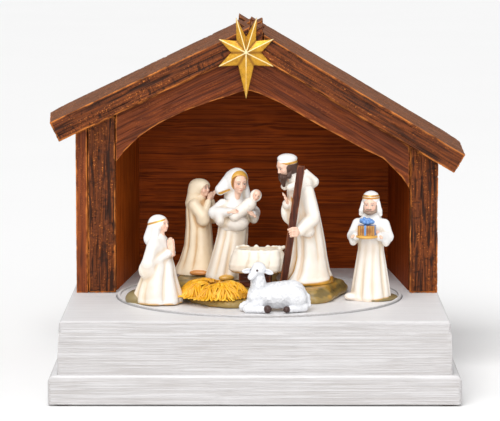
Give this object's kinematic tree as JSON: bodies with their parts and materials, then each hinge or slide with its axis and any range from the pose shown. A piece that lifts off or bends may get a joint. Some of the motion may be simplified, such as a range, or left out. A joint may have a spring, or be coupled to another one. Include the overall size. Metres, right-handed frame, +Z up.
{
  "type": "wooden_nativity_stable",
  "caption": "Rough wooden nativity stable with a crossed-ridge roof and a gold star, on a stepped whitewashed base whose wind-up disc turns the painted figures",
  "frame": {"origin": "centre of the base's footprint, on the table plane under the feet", "axes": "X to the right seen from the open front, Y towards the back wall, Z up"},
  "size_m": [0.28, 0.2508, 0.2303],
  "materials": {
    "whitewashed_wood": "limed, grain showing grey-beige",
    "rough_brown_wood": "rough sawn, stained red-brown, waxed edges",
    "red_brown_plank": "smooth horizontal grain, dark red-brown stain",
    "dark_stained_wood": "dark brown, satin",
    "fibreboard": "raw hardboard",
    "felt_pad": "pressed felt",
    "bare_steel": "plain steel",
    "movement_brass": "plain turned brass",
    "gold_paint": "antique gold, rubbed ridges",
    "gilt_stone": "olive-gold wash over cast rock",
    "ivory_resin": "hand-painted ivory with gold wash",
    "cream_resin": "hand-painted cream with beige wash",
    "straw_paint": "golden yellow with dark wash",
    "wool_white_resin": "cool white, stippled"
  },
  "bodies": {
    "stable_base": {"plinth_front": "whitewashed_wood", "plinth_back": "whitewashed_wood", "plinth_left": "whitewashed_wood", "plinth_right": "whitewashed_wood", "rail_front": "whitewashed_wood", "rail_back": "whitewashed_wood", "rail_left": "whitewashed_wood", "rail_right": "whitewashed_wood", "deck_board": "whitewashed_wood", "bottom_cover": "fibreboard", "cover_screws": "bare_steel", "base_feet": "felt_pad", "deck_bushing": "movement_brass", "bedplate": "bare_steel", "movement_screws": "bare_steel", "lower_bridge": "movement_brass", "ratchet_click": "bare_steel", "arbor_brackets": "bare_steel", "tone_comb": "bare_steel", "comb_screws": "bare_steel", "left_post": "rough_brown_wood", "right_post": "rough_brown_wood", "left_side_board": "rough_brown_wood", "right_side_board": "rough_brown_wood", "left_wall": "rough_brown_wood", "right_wall": "rough_brown_wood", "back_plank_1": "red_brown_plank", "back_plank_2": "red_brown_plank", "back_plank_3": "red_brown_plank", "back_plank_4": "red_brown_plank", "back_plank_5": "red_brown_plank", "back_plank_6": "red_brown_plank", "back_plank_7": "red_brown_plank", "left_arch_board": "rough_brown_wood", "right_arch_board": "rough_brown_wood", "roof_left": "rough_brown_wood", "roof_right": "rough_brown_wood", "gable_star": "gold_paint", "star_pin": "bare_steel"},
    "turntable": {"turning_disc": "whitewashed_wood", "drive_shaft": "movement_brass", "spring_barrel": "movement_brass", "barrel_lid": "movement_brass", "mainspring": "bare_steel", "ground_piece": "gilt_stone", "kneeling_figure": "ivory_resin", "hooded_figure": "cream_resin", "mother_figure": "ivory_resin", "father_figure": "ivory_resin", "beam_staff": "dark_stained_wood", "manger": "dark_stained_wood", "manger_drape": "cream_resin", "straw_pile": "straw_paint", "lying_sheep": "wool_white_resin", "gift_bearer": "ivory_resin"},
    "winder": {"winding_arbor": "bare_steel", "winding_key": "movement_brass"},
    "music_cylinder": {"pinned_cylinder": "movement_brass"},
    "air_governor": {"governor_fan": "movement_brass"}
  },
  "joints": [
    {"name": "turntable_spin", "type": "hinge", "parent": "stable_base", "child": "turntable", "pos_m": [0.0028, -0.012, 0.051], "axis": [0, 0, 1], "continuous": true},
    {"name": "key_wind", "type": "hinge", "parent": "stable_base", "child": "winder", "pos_m": [0.0028, -0.012, 0.006], "axis": [0, 0, 1], "continuous": true},
    {"name": "cylinder_spin", "type": "hinge", "parent": "stable_base", "child": "music_cylinder", "pos_m": [0.03, -0.012, 0.0324], "axis": [1, 0, 0], "continuous": true},
    {"name": "governor_spin", "type": "hinge", "parent": "stable_base", "child": "air_governor", "pos_m": [0.06, -0.003, 0.0324], "axis": [1, 0, 0], "continuous": true}
  ],
  "couplings": [
    {"joint": "cylinder_spin", "follows": "turntable_spin", "ratio": -4},
    {"joint": "governor_spin", "follows": "turntable_spin", "ratio": 16}
  ]
}
